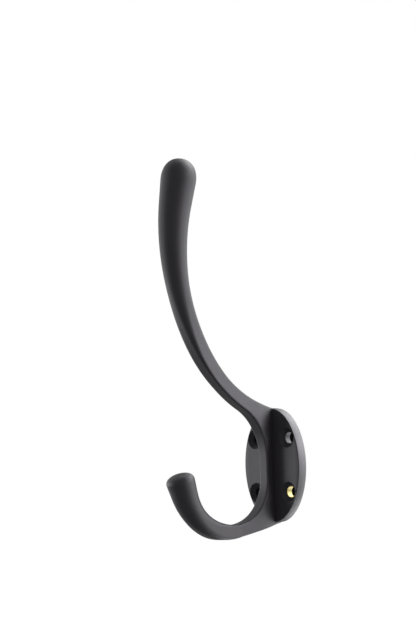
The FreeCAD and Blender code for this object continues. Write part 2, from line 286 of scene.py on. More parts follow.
@dataclass(frozen=True)
class CentreLine:
    """Tangent arcs that an arm follows from the web's front to its tip, in mm.

    The lean is the angle of travel from the vertical towards the room. Each arc
    is its radius and the lean in degrees at its end.
    """

    start_y: float
    start_z: float
    arcs: tuple[tuple[float, float], ...]
    side: Side

    def at(self, travel: float) -> Stop:
        """Follow the arcs, then go straight on.

        Args:
            travel: Distance along the line in mm.

        Returns:
            The place there, in the model's frame.
        """
        y, z, lean = self.start_y, self.start_z, 0.0
        for radius, end_degrees in self.arcs:
            end = math.radians(end_degrees)
            length = radius * abs(end - lean)
            turn = 1.0 if end > lean else -1.0
            stop = lean + turn * min(travel, length) / radius
            y += turn * radius * (math.cos(stop) - math.cos(lean))
            z += turn * radius * (math.sin(stop) - math.sin(lean))
            lean = stop
            travel -= min(travel, length)
            if travel <= 0.0:
                break
        y -= travel * math.sin(lean)
        z += travel * math.cos(lean)
        return Stop(y, self.side.value * z, self.side.value * lean)

    def travel_to(self, arc_number: int, lean_degrees: float) -> float:
        """Find how far along the line an arc reaches a lean.

        Args:
            arc_number: Number of the arc, from 0.
            lean_degrees: The lean to find.

        Returns:
            The travel there in mm.
        """
        travel, lean = 0.0, 0.0
        for number, (radius, end_degrees) in enumerate(self.arcs[:arc_number + 1]):
            stop = math.radians(lean_degrees if number == arc_number else end_degrees)
            travel += radius * abs(stop - lean)
            lean = stop
        return travel


@dataclass
class SweptArm:
    """One arm: a rounded bar that swells towards a domed tip, in mm.

    Its growth and its dome are powers: 1 swells evenly, more keeps it slim for
    longer; 2 makes an ellipse, more makes a fuller shoulder.
    """

    name: str
    line: CentreLine
    joint_lean: float
    neck_length: float
    root_width: float
    root_front: float
    root_back: float
    root_round: float
    tip_dia: float
    growth: float
    round_by: float
    dome_length: float
    dome_power: float
    tip_round: float = 0.97
    overlap: float = 3.0
    tuck: float = 0.3
    step: float = 0.4
    around: int = 96
    dome_rings: int = 24
    dome_end: float = 0.9999

    @property
    def joint(self) -> float:
        """Travel at which the web hands over to the arm."""
        return self.line.travel_to(1, self.joint_lean)

    @property
    def equator(self) -> float:
        """Travel at which the dome begins."""
        return self.line.travel_to(2, self.line.arcs[2][1]) + self.neck_length

    def section(self, travel: float) -> tuple[float, float, float, float]:
        """Size the bar's section at a place along the arm.

        Args:
            travel: Distance along the centre line in mm.

        Returns:
            Width, depth, corner radius and the shift towards the wall, in mm.
        """
        share = held((travel - self.joint) / (self.equator - self.joint))
        grown = share ** self.growth
        depth_at_root = self.root_front + self.root_back
        width = self.root_width + (self.tip_dia - self.root_width) * grown
        depth = depth_at_root + (self.tip_dia - depth_at_root) * grown
        root_part = 2.0 * self.root_round / self.root_width
        part = root_part + (self.tip_round - root_part) * smooth_step(share / self.round_by)
        into_dome = held((travel - self.equator) / self.dome_length)
        scale = max(1.0 - into_dome ** self.dome_power, 0.0) ** (1.0 / self.dome_power)
        # The end inside the web tapers, so that no two skins lie on each other.
        scale *= 1.0 - self.tuck * held((self.joint - travel) / self.overlap)
        width, depth = width * scale, depth * scale
        shift = (self.root_back - self.root_front) / 2 * (1.0 - share)
        return width, depth, min(width, depth) / 2 * part, shift

    def travels(self) -> list[float]:
        """Place the rings of the sweep, closer together over the dome.

        Returns:
            The travel of each ring in mm. The last one stops just short of the
            dome's end, where a ring would have no width.
        """
        start, end = self.joint - self.overlap, self.equator
        count = math.ceil((end - start) / self.step)
        rings = [start + (end - start) * index / count for index in range(count)]
        for index in range(self.dome_rings):
            turn = math.pi / 2 * index / self.dome_rings
            rings.append(end + self.dome_length * math.sin(turn))
        rings.append(end + self.dome_length * self.dome_end)
        return rings

    def rail(self) -> bpy.types.Object:
        """Make the centre line as a chain of points that carry the section.

        Returns:
            The chain, with lean, wide, deep, corner and shift on its points.
        """
        stops = [(self.line.at(travel), self.section(travel)) for travel in self.travels()]
        mesh = bpy.data.meshes.new(f"{self.name}_rail")
        points = [(0.0, stop.y * MM, stop.z * MM) for stop, _ in stops]
        chain = [(index, index + 1) for index in range(len(points) - 1)]
        mesh.from_pydata(points, chain, [])
        columns = {"lean": [stop.lean for stop, _ in stops]}
        for column, name in enumerate(("wide", "deep", "corner", "shift")):
            columns[name] = [sizes[column] * MM for _, sizes in stops]
        for name, values in columns.items():
            layer = mesh.attributes.new(name, "FLOAT", "POINT")
            layer.data.foreach_set("value", values)
        return mesh_object(f"{self.name}_rail", mesh)

    def build(self, sweep: bpy.types.NodeTree, finish: bpy.types.Material) -> bpy.types.Object:
        """Sweep the section along the rail.

        Args:
            sweep: Node tree that sweeps a rounded bar.
            finish: Material of the arm.

        Returns:
            The arm as a closed plain mesh.
        """
        return run_tree(self.rail(), sweep, {"Around": self.around, "Finish": finish})


def sweep_tree() -> bpy.types.NodeTree:
    """Build the node tree that sweeps a rounded rectangle along a rail.

    Returns:
        A tree whose rail carries lean, wide, deep, corner and shift.
    """
    tree, inputs = start_tree("sweep_rounded_bar", {"Around": "Int"})
    numbers = dict.fromkeys(("around", "lean", "wide", "deep", "corner", "shift"), "FLOAT")
    carried = {
        name: add_node(
            tree, "GeometryNodeInputNamedAttribute", {"data_type": kind}, {"Name": name}
        ).outputs["Attribute"]
        for name, kind in {**numbers, "centre": "FLOAT_VECTOR"}.items()
    }
    position = add_node(tree, "GeometryNodeInputPosition")
    stored = add_node(
        tree, "GeometryNodeStoreNamedAttribute", {"data_type": "FLOAT_VECTOR", "domain": "POINT"},
        {"Geometry": inputs.outputs["Geometry"], "Name": "centre", "Value": position},
    )
    rail = add_node(tree, "GeometryNodeMeshToCurve", {}, {"Mesh": stored})
    circle = add_node(tree, "GeometryNodeCurvePrimitiveCircle", {}, {
        "Resolution": inputs.outputs["Around"],
    })
    along = add_node(tree, "GeometryNodeSplineParameter")
    profile = add_node(
        tree, "GeometryNodeStoreNamedAttribute", {"data_type": "FLOAT", "domain": "POINT"},
        {"Geometry": circle, "Name": "around", "Value": along.outputs["Factor"]},
    )
    tube = add_node(tree, "GeometryNodeCurveToMesh", {}, {
        "Curve": rail, "Profile Curve": profile, "Fill Caps": True,
    })
    angle = add_node(tree, MATHS, {"operation": "MULTIPLY"}, {
        0: carried["around"], 1: 2.0 * math.pi,
    })
    # A steep ramp swings the corner circle's centre from one corner to the next.
    steepness = 12.0
    offsets = []
    for wave, span in (("COSINE", "wide"), ("SINE", "deep")):
        way = add_node(tree, MATHS, {"operation": wave}, {0: angle})
        swing = add_node(tree, MATHS, {"operation": "MULTIPLY"}, {0: way, 1: steepness})
        ramp = add_node(tree, "ShaderNodeClamp", {}, {"Value": swing, "Min": -1.0, "Max": 1.0})
        half = add_node(tree, MATHS, {"operation": "MULTIPLY"}, {0: carried[span], 1: 0.5})
        flat = add_node(tree, MATHS, {"operation": "SUBTRACT"}, {0: half, 1: carried["corner"]})
        bend = add_node(tree, MATHS, {"operation": "MULTIPLY"}, {0: way, 1: carried["corner"]})
        offsets.append(add_node(tree, MATHS, {"operation": "MULTIPLY_ADD"}, {
            0: ramp, 1: flat, 2: bend,
        }))
    back = add_node(tree, MATHS, {"operation": "ADD"}, {0: offsets[1], 1: carried["shift"]})
    leaning = {}
    for axis, wave in (("Y", "COSINE"), ("Z", "SINE")):
        part = add_node(tree, MATHS, {"operation": wave}, {0: carried["lean"]})
        leaning[axis] = add_node(tree, MATHS, {"operation": "MULTIPLY"}, {0: back, 1: part})
    offset = add_node(tree, "ShaderNodeCombineXYZ", {}, {"X": offsets[0], **leaning})
    place = add_node(tree, "ShaderNodeVectorMath", {"operation": "ADD"}, {
        0: carried["centre"], 1: offset,
    })
    bar = add_node(tree, "GeometryNodeSetPosition", {}, {"Geometry": tube, "Position": place})
    end_tree(tree, bar, inputs)
    return tree


@dataclass
class WallPlate:
    """The oval plate with a softened front edge and countersunk holes, in mm."""

    width: float = 30.49
    height: float = 46.0
    thick: float = 4.35
    edge: float = 0.35
    crown: float = 0.16
    pitch_x: float = 17.8
    pitch_z: float = 21.6
    bore: float = 4.5
    sink: float = 8.0
    around: int = 256
    rim_rings: int = 12
    edge_rings: int = 6

    def rings(self) -> list[tuple[float, float]]:
        """Place the plate's rings. The rim is crowned, as hand linishing leaves it.

        Returns:
            (inset, y) of each ring, from the wall face to the front face.
        """
        rings = []
        straight = self.thick - self.edge
        for index in range(self.rim_rings + 1):
            share = index / self.rim_rings
            rings.append((self.crown * (2.0 * share - 1.0) ** 2, -straight * share))
        for index in range(1, self.edge_rings + 1):
            angle = math.pi / 2 * index / self.edge_rings
            inset = self.crown + self.edge * (1 - math.cos(angle))
            rings.append((inset, -straight - self.edge * math.sin(angle)))
        return rings

    def blank(self) -> bpy.types.Object:
        """Make the plate without its holes.

        Returns:
            The plate as a closed plain mesh.
        """
        shell = bmesh.new()
        loops = []
        for inset, y in self.rings():
            loop = []
            for index in range(self.around):
                angle = 2.0 * math.pi * index / self.around
                x = (self.width / 2 - inset) * math.cos(angle)
                z = (self.height / 2 - inset) * math.sin(angle)
                loop.append(shell.verts.new((x * MM, y * MM, z * MM)))
            loops.append(loop)
        for lower, upper in zip(loops, loops[1:]):
            for index in range(self.around):
                following = (index + 1) % self.around
                shell.faces.new((lower[index], lower[following], upper[following], upper[index]))
        shell.faces.new(loops[0][::-1])
        shell.faces.new(loops[-1])
        return shell_object("plate", shell)

    def build(self, holes: bpy.types.NodeTree, finish: bpy.types.Material) -> bpy.types.Object:
        """Make the plate and cut its screw holes.

        Args:
            holes: Node tree that cuts countersunk holes.
            finish: Material of the plate.

        Returns:
            The plate as a closed plain mesh.
        """
        return run_tree(self.blank(), holes, {
            "Pitch X": self.pitch_x * MM,
            "Pitch Z": self.pitch_z * MM,
            "Bore": self.bore * MM,
            "Sink": self.sink * MM,
            "Thick": self.thick * MM,
            "Finish": finish,
        })


def hole_tree() -> bpy.types.NodeTree:
    """Build the node tree that cuts a rectangle of countersunk holes.

    Returns:
        A tree that sets a countersink cutter on four points and subtracts it.
    """
    names = ("Pitch X", "Pitch Z", "Bore", "Sink", "Thick")
    tree, inputs = start_tree("countersunk_holes", {name: "Float" for name in names})
    sides = 96
    # The drill is longer than the plate, and the cone runs on past its face.
    lengths, beyond = 3.0, 1.0 * MM
    bore_r = add_node(tree, MATHS, {"operation": "MULTIPLY"}, {0: inputs.outputs["Bore"], 1: 0.5})
    sink_r = add_node(tree, MATHS, {"operation": "MULTIPLY"}, {0: inputs.outputs["Sink"], 1: 0.5})
    # At 45 degrees the countersink is as deep as it is wider than the bore.
    depth = add_node(tree, MATHS, {"operation": "SUBTRACT"}, {0: sink_r, 1: bore_r})
    drill = add_node(tree, "GeometryNodeMeshCylinder", {}, {
        "Vertices": sides,
        "Radius": bore_r,
        "Depth": add_node(tree, MATHS, {"operation": "MULTIPLY"}, {
            0: inputs.outputs["Thick"], 1: lengths,
        }),
    })
    cone = add_node(tree, "GeometryNodeMeshCone", {}, {
        "Vertices": sides,
        "Radius Top": add_node(tree, MATHS, {"operation": "ADD"}, {0: sink_r, 1: beyond}),
        "Radius Bottom": bore_r,
        "Depth": add_node(tree, MATHS, {"operation": "ADD"}, {0: depth, 1: beyond}),
    })
    cone_foot = add_node(tree, MATHS, {"operation": "SUBTRACT"}, {
        0: inputs.outputs["Thick"], 1: depth,
    })
    lifted = add_node(tree, "GeometryNodeTransform", {}, {
        "Geometry": cone,
        "Translation": add_node(tree, "ShaderNodeCombineXYZ", {}, {"Z": cone_foot}),
    })
    tool = add_node(tree, "GeometryNodeMeshBoolean", {"operation": "UNION", "solver": "EXACT"})
    for solid in (drill, lifted):
        tree.links.new(solid.outputs[0], tool.inputs[1])
    grid = add_node(tree, "GeometryNodeMeshGrid", {}, {
        "Size X": inputs.outputs["Pitch X"], "Size Y": inputs.outputs["Pitch Z"],
        "Vertices X": 2, "Vertices Y": 2,
    })
    tools = add_node(tree, "GeometryNodeInstanceOnPoints", {}, {"Points": grid, "Instance": tool})
    turned = add_node(tree, "GeometryNodeTransform", {}, {
        "Geometry": tools, "Rotation": (math.pi / 2, 0.0, 0.0),
    })
    cut = add_node(
        tree, "GeometryNodeMeshBoolean", {"operation": "DIFFERENCE", "solver": "EXACT"},
        {0: inputs.outputs["Geometry"]},
    )
    tree.links.new(turned.outputs[0], cut.inputs[1])
    end_tree(tree, cut, inputs)
    return tree


@dataclass
class Web:
    """The flat web between the plate and both arms, seen from the side, in mm.

    A seat is where the web's back edge ends in the plate: how deep below the
    plate's face, and how far short of the plate's end.
    """

    upper: SweptArm
    lower: SweptArm
    plate: WallPlate
    width: float
    edge_round: float
    foot_width: float = 2.4
    foot_reach: float = 9.0
    upper_seat: tuple[float, float] = (1.85, 0.15)
    lower_seat: tuple[float, float] = (3.7, 0.0)
    per_arc: int = 40
    edge_steps: int = 6
    near: float = 0.01

    def half_outline(self, arm: SweptArm) -> list[tuple[float, float]]:
        """Follow one arm's front to its joint and come back to the plate.

        Args:
            arm: The arm whose half of the web is wanted.

        Returns:
            Points as (y, z), from the web's front to the plate's end.
        """
        joint = arm.joint
        count = 2 * self.per_arc
        points = [arm.line.at(joint * k / count).behind(-arm.root_front) for k in range(count + 1)]
        end = arm.line.at(joint)
        back = Vector(end.behind(arm.root_back))
        depth, drop = self.upper_seat if arm.line.side is Side.UPPER else self.lower_seat
        seat_z = arm.line.side.value * (self.plate.height / 2 - drop)
        points.extend(self.tangent_arc(back, end.lean, Vector((depth - self.plate.thick, seat_z))))
        return points

    def tangent_arc(self, start: Vector, lean: float, end: Vector) -> list[tuple[float, float]]:
        """Draw the arc that leaves an arm's joint along the arm and meets the seat.

        Args:
            start: The joint's back corner.
            lean: The arm's lean there in radians.
            end: The seat.

        Returns:
            Points as (y, z) along the arc.
        """
        across = Vector((math.cos(lean), math.sin(lean)))
        chord = end - start
        radius = chord.dot(chord) / (2.0 * chord.dot(across))
        centre = start + across * radius
        first = start - centre
        turn = first.angle_signed(end - centre)
        points = []
        for index in range(self.per_arc + 1):
            spun = Matrix.Rotation(-turn * index / self.per_arc, 2) @ first
            points.append(tuple(centre + spun))
        return points

    def build(self) -> bpy.types.Object:
        """Extrude the outline across the hook and round its long edges.

        Returns:
            The web as a closed plain mesh.
        """
        above, below = self.half_outline(self.upper), self.half_outline(self.lower)
        outline = above + below[::-1]
        sheet = bmesh.new()
        corners = [sheet.verts.new((-self.width / 2 * MM, y * MM, z * MM)) for y, z in outline]
        bottom = sheet.faces.new(corners)
        grown = bmesh.ops.extrude_face_region(sheet, geom=[bottom])
        moved = [item for item in grown["geom"] if isinstance(item, bmesh.types.BMVert)]
        bmesh.ops.translate(sheet, verts=moved, vec=(self.width * MM, 0.0, 0.0))
        bmesh.ops.recalc_face_normals(sheet, faces=sheet.faces)
        # The three ends where the arms and the plate go on stay square.
        ends = (2 * self.per_arc, len(above) - 1, len(outline) - 2 * self.per_arc - 2)
        square = [math.dist(outline[end], outline[end + 1]) for end in ends]
        rims = []
        for edge in sheet.edges:
            along_side = abs(edge.verts[0].co.x - edge.verts[1].co.x) < self.near * MM
            length = edge.calc_length() / MM
            if along_side and all(abs(length - end) > self.near for end in square):
                rims.append(edge)
        bmesh.ops.bevel(
            sheet, geom=rims, offset=self.edge_round * MM, segments=self.edge_steps, profile=0.5,
            affect="EDGES", clamp_overlap=True,
        )
        return shell_object("web", sheet)

    def half_width(self, y: float) -> float:
        """Size the web at y, where it narrows to its foot on the plate.

        Args:
            y: Distance from the wall face in mm, negative towards the room.

        Returns:
            Half the web's width in mm.
        """
        outer = -self.plate.thick - self.foot_reach
        share = held((y - outer) / self.foot_reach)
        return self.width / 2 - (self.width - self.foot_width) / 2 * share * share

    def narrow(self, mesh: bpy.types.Mesh) -> None:
        """Hollow both sides of the web towards the plate.

        Args:
            mesh: The mesh of the web and both arms.
        """
        for vertex in mesh.vertices:
            vertex.co.x *= self.half_width(vertex.co.y / MM) / (self.width / 2)


@dataclass(frozen=True)
class Relief:
    """A noise that stands up from a surface.

    Its length from bump to bump and its height are in mm. The detail counts its
    finer layers, and the grain says how strong they are.
    """

    length: float
    height: float
    strength: float
    detail: float
    grain: float


@dataclass(frozen=True)
class BlackCoat:
    """Satin black stoved enamel on cast brass, with one screw bore left bare.

    The coat is smooth and slightly soft over every edge. It shows a fine orange
    peel and a low, wide highlight, and a violet tint where it mirrors light. The
    rim has a highlight painted on in a lighter grey.
    """

    coat: str = "#252327"
    coat_pale: str = "#2a282c"
    # The rim's lighter grey is a painted highlight.
    rim: str = "#39383b"
    brass: str = "#9a8f60"
    coat_ior: float = 1.5
    coat_specular: float = 0.5
    rim_specular: float = 0.9
    shine_tint: tuple[float, float, float, float] = (0.95, 0.93, 1.0, 1.0)
    coat_roughness: float = 0.52
    roughness_spread: float = 0.04
    brass_roughness: float = 0.45
    # Orange peel of sprayed enamel, under a millimetre from bump to bump.
    peel: Relief = Relief(length=0.9, height=0.03, strength=0.35, detail=2.0, grain=0.5)
    # Hand linishing of the casting leaves slow waves some millimetres long.
    waves: Relief = Relief(length=6.0, height=0.12, strength=0.25, detail=3.0, grain=0.55)
    # The rim begins at this share of the oval and ends this far from the wall, in mm.
    rim_start: float = 0.965
    rim_front: float = 4.0
    # The bare wall of the bore, in mm: its reach, its front end and its back end.
    bare_radius: float = 2.5
    bare_front: float = 2.75
    bare_back: float = 0.05

    def build(self, plate: WallPlate) -> bpy.types.Material:
        """Make the coat's material.

        Args:
            plate: The wall plate, whose rim and lower right bore differ.

        Returns:
            The material, in Object coordinates.
        """
        material = empty_material("satin_black_enamel_on_brass")
        tree = material.node_tree
        place = add_node(tree, "ShaderNodeTexCoord").outputs["Object"]
        peel, waves = (
            add_node(tree, "ShaderNodeTexNoise", {}, {
                "Vector": place, "Scale": 1.0 / (relief.length * MM),
                "Detail": relief.detail, "Roughness": relief.grain,
            })
            for relief in (self.peel, self.waves)
        )
        low = add_node(tree, "ShaderNodeBump", {}, {
            "Strength": self.waves.strength, "Distance": self.waves.height * MM, "Height": waves,
        })
        fine = add_node(tree, "ShaderNodeBump", {}, {
            "Strength": self.peel.strength, "Distance": self.peel.height * MM, "Height": peel,
            "Normal": low,
        })
        # The coat lies thicker in the hollows of the waves, so it varies a little.
        tone = add_node(tree, "ShaderNodeMix", {"data_type": "RGBA"}, {
            "Factor": waves, "A": to_linear(self.coat), "B": to_linear(self.coat_pale),
        })
        gloss = add_node(tree, "ShaderNodeMapRange", {}, {
            "Value": waves,
            "To Min": self.coat_roughness - self.roughness_spread,
            "To Max": self.coat_roughness + self.roughness_spread,
        })
        # The rim is painted a lighter grey as a highlight, and its specular is raised.
        painted_rim_highlight = self.rim_highlight_mask(tree, place, plate)
        colour = add_node(tree, "ShaderNodeMix", {"data_type": "RGBA"}, {
            "Factor": painted_rim_highlight, "A": tone.outputs["Result"], "B": to_linear(self.rim),
        })
        shine = add_node(tree, "ShaderNodeMapRange", {}, {
            "Value": painted_rim_highlight, "To Min": self.coat_specular, "To Max": self.rim_specular,
        })
        enamel = add_node(tree, "ShaderNodeBsdfPrincipled", {}, {
            "Base Color": colour.outputs["Result"],
            "Specular IOR Level": shine,
            "Roughness": gloss,
            "IOR": self.coat_ior,
            "Specular Tint": self.shine_tint,
            "Normal": fine,
        })
        # Bare brass, dull from casting: it gives the bore a soft yellow shine.
        bare = add_node(tree, "ShaderNodeBsdfPrincipled", {}, {
            "Base Color": to_linear(self.brass),
            "Metallic": 1.0,
            "Roughness": self.brass_roughness,
            "Normal": fine,
        })
        surface = add_node(tree, "ShaderNodeMixShader", {}, {
            0: self.bare_mask(tree, place, plate), 1: enamel, 2: bare,
        })
        add_node(tree, "ShaderNodeOutputMaterial", {}, {"Surface": surface})
        return material

    def rim_highlight_mask(
        self, tree: bpy.types.NodeTree, place: bpy.types.NodeSocket, plate: WallPlate
    ) -> bpy.types.Node:
        """Mark the plate's rim behind its softened front edge, where the highlight is painted.

        Args:
            tree: The material's tree.
            place: Object coordinates.
            plate: The wall plate.

        Returns:
            A node that is 1 on the rim and 0 elsewhere.
        """
        split = add_node(tree, "ShaderNodeSeparateXYZ", {}, {0: place})
        across = add_node(tree, MATHS, {"operation": "DIVIDE"}, {
            0: split.outputs["X"], 1: plate.width / 2 * MM,
        })
        upward = add_node(tree, MATHS, {"operation": "DIVIDE"}, {
            0: split.outputs["Z"], 1: plate.height / 2 * MM,
        })
        oval = add_node(tree, "ShaderNodeCombineXYZ", {}, {"X": across, "Y": upward})
        reach = add_node(tree, "ShaderNodeVectorMath", {"operation": "LENGTH"}, {0: oval})
        outside = add_node(tree, MATHS, {"operation": "GREATER_THAN"}, {
            0: reach.outputs["Value"], 1: self.rim_start,
        })
        behind = add_node(tree, MATHS, {"operation": "GREATER_THAN"}, {
            0: split.outputs["Y"], 1: -self.rim_front * MM,
        })
        return add_node(tree, MATHS, {"operation": "MULTIPLY"}, {0: outside, 1: behind})

    def bare_mask(
        self, tree: bpy.types.NodeTree, place: bpy.types.NodeSocket, plate: WallPlate
    ) -> bpy.types.Node:
        """Mark the wall of the one bore that the coat left bare.

        Args:
            tree: The material's tree.
            place: Object coordinates.
            plate: The wall plate.

        Returns:
            A node that is 1 inside the lower right bore and 0 elsewhere.
        """
        split = add_node(tree, "ShaderNodeSeparateXYZ", {}, {0: place})
        bore = (plate.pitch_x / 2 * MM, 0.0, -plate.pitch_z / 2 * MM)
        offset = add_node(tree, "ShaderNodeVectorMath", {"operation": "SUBTRACT"}, {
            0: place, 1: bore,
        })
        flat = add_node(tree, "ShaderNodeVectorMath", {"operation": "MULTIPLY"}, {
            0: offset, 1: (1.0, 0.0, 1.0),
        })
        reach = add_node(tree, "ShaderNodeVectorMath", {"operation": "LENGTH"}, {0: flat})
        near = add_node(tree, MATHS, {"operation": "LESS_THAN"}, {
            0: reach.outputs["Value"], 1: self.bare_radius * MM,
        })
        deep = add_node(tree, MATHS, {"operation": "GREATER_THAN"}, {
            0: split.outputs["Y"], 1: -self.bare_front * MM,
        })
        inside = add_node(tree, MATHS, {"operation": "LESS_THAN"}, {
            0: split.outputs["Y"], 1: -self.bare_back * MM,
        })
        wall = add_node(tree, MATHS, {"operation": "MULTIPLY"}, {0: near, 1: deep})
        return add_node(tree, MATHS, {"operation": "MULTIPLY"}, {0: wall, 1: inside})


@dataclass
class Casting:
    """The whole hook as one casting: web and arms melted together, on a crisp plate."""

    web_front: float = 9.1
    front_depth: float = 3.0
    bar_width: float = 5.3
    edge_round: float = 0.5
    dome_power: float = 2.3
    voxel: float = 0.3
    soften: int = 4
    soften_share: float = 0.5
    crisp_degrees: float = 35.0
    weld_gap: float = 0.002
    upper: SweptArm = field(init=False)
    lower: SweptArm = field(init=False)
    web: Web = field(init=False)
    plate: WallPlate = field(init=False)

    def __post_init__(self) -> None:
        """Set up the parts of the casting from its sizes."""
        centre_y = self.front_depth - self.web_front
        self.upper = SweptArm(
            name="upper_arm",
            line=CentreLine(
                start_y=centre_y, start_z=3.1,
                arcs=((24.7, 62.4), (61.9, 32.1), (75.0, -12.2)), side=Side.UPPER,
            ),
            joint_lean=50.0, neck_length=9.72, root_width=self.bar_width,
            root_front=self.front_depth, root_back=2.6, root_round=self.edge_round,
            tip_dia=13.88, growth=1.3, round_by=0.55, dome_length=8.7,
            dome_power=self.dome_power,
        )
        self.lower = SweptArm(
            name="lower_arm",
            line=CentreLine(
                start_y=centre_y, start_z=5.22,
                arcs=((20.5, 72.0), (30.0, 104.0), (23.0, 160.5)), side=Side.LOWER,
            ),
            joint_lean=80.0, neck_length=5.4, root_width=self.bar_width,
            root_front=self.front_depth, root_back=2.1, root_round=self.edge_round,
            tip_dia=11.2, growth=1.08, round_by=0.7, dome_length=3.2,
            dome_power=self.dome_power,
        )
        self.plate = WallPlate()
        self.web = Web(self.upper, self.lower, self.plate, self.bar_width, self.edge_round)

    def melt_bar(self, finish: bpy.types.Material) -> bpy.types.Object:
        """Melt the web and both arms into one bar with soft edges.

        Args:
            finish: Material of the casting.

        Returns:
            The bar as a closed plain mesh.
        """
        sweep = sweep_tree()
        bar = self.web.build()
        for arm in (self.upper, self.lower):
            grown = arm.build(sweep, finish)
            LOG.info("%s has %d faces", arm.name, len(grown.data.polygons))
            unite(bar, grown)
        melt = bar.modifiers.new("melt", "REMESH")
        melt.mode = "VOXEL"
        melt.voxel_size = self.voxel * MM
        soft = bar.modifiers.new("soften", "SMOOTH")
        soft.factor = self.soften_share
        soft.iterations = self.soften
        bake_modifiers(bar)
        self.web.narrow(bar.data)
        return bar

    def build(self, finish: bpy.types.Material) -> bpy.types.Object:
        """Set the bar into the plate as one skin.

        Args:
            finish: Material of the casting.

        Returns:
            The finished piece.
        """
        bar = self.melt_bar(finish)
        item = self.plate.build(hole_tree(), finish)
        item.name = "robe_hook"
        unite(item, bar)
        weld(item.data, self.weld_gap)
        item.data.materials.clear()
        item.data.materials.append(finish)
        item.data.shade_smooth()
        item.data.set_sharp_from_angle(angle=math.radians(self.crisp_degrees))
        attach(item, BODY)
        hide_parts(NODE)
        LOG.info("%s has %d faces", item.name, len(item.data.polygons))
        return item


@dataclass(frozen=True)
class Panel:
    """A soft-edged panel of the light tent.

    The azimuth is in degrees from the front of the plate towards +X, the height
    in degrees over the horizon. The two reaches run from its middle to where it
    fades out, in degrees too. The level is that of its middle, where 1 is white.
    """

    name: str
    azimuth: float
    height: float
    reach_round: float
    reach_high: float
    level: float


@dataclass(frozen=True)
class Softbox:
    """An upright softbox that faces the hook, in metres.

    The azimuth is in degrees from the front of the plate towards +X. Its lower and
    upper edges are measured from the plate's middle, and its radiance says how
    bright its cloth looks, where 1 is white.
    """

    name: str
    azimuth: float
    away: float
    low: float
    high: float
    wide: float
    radiance: float


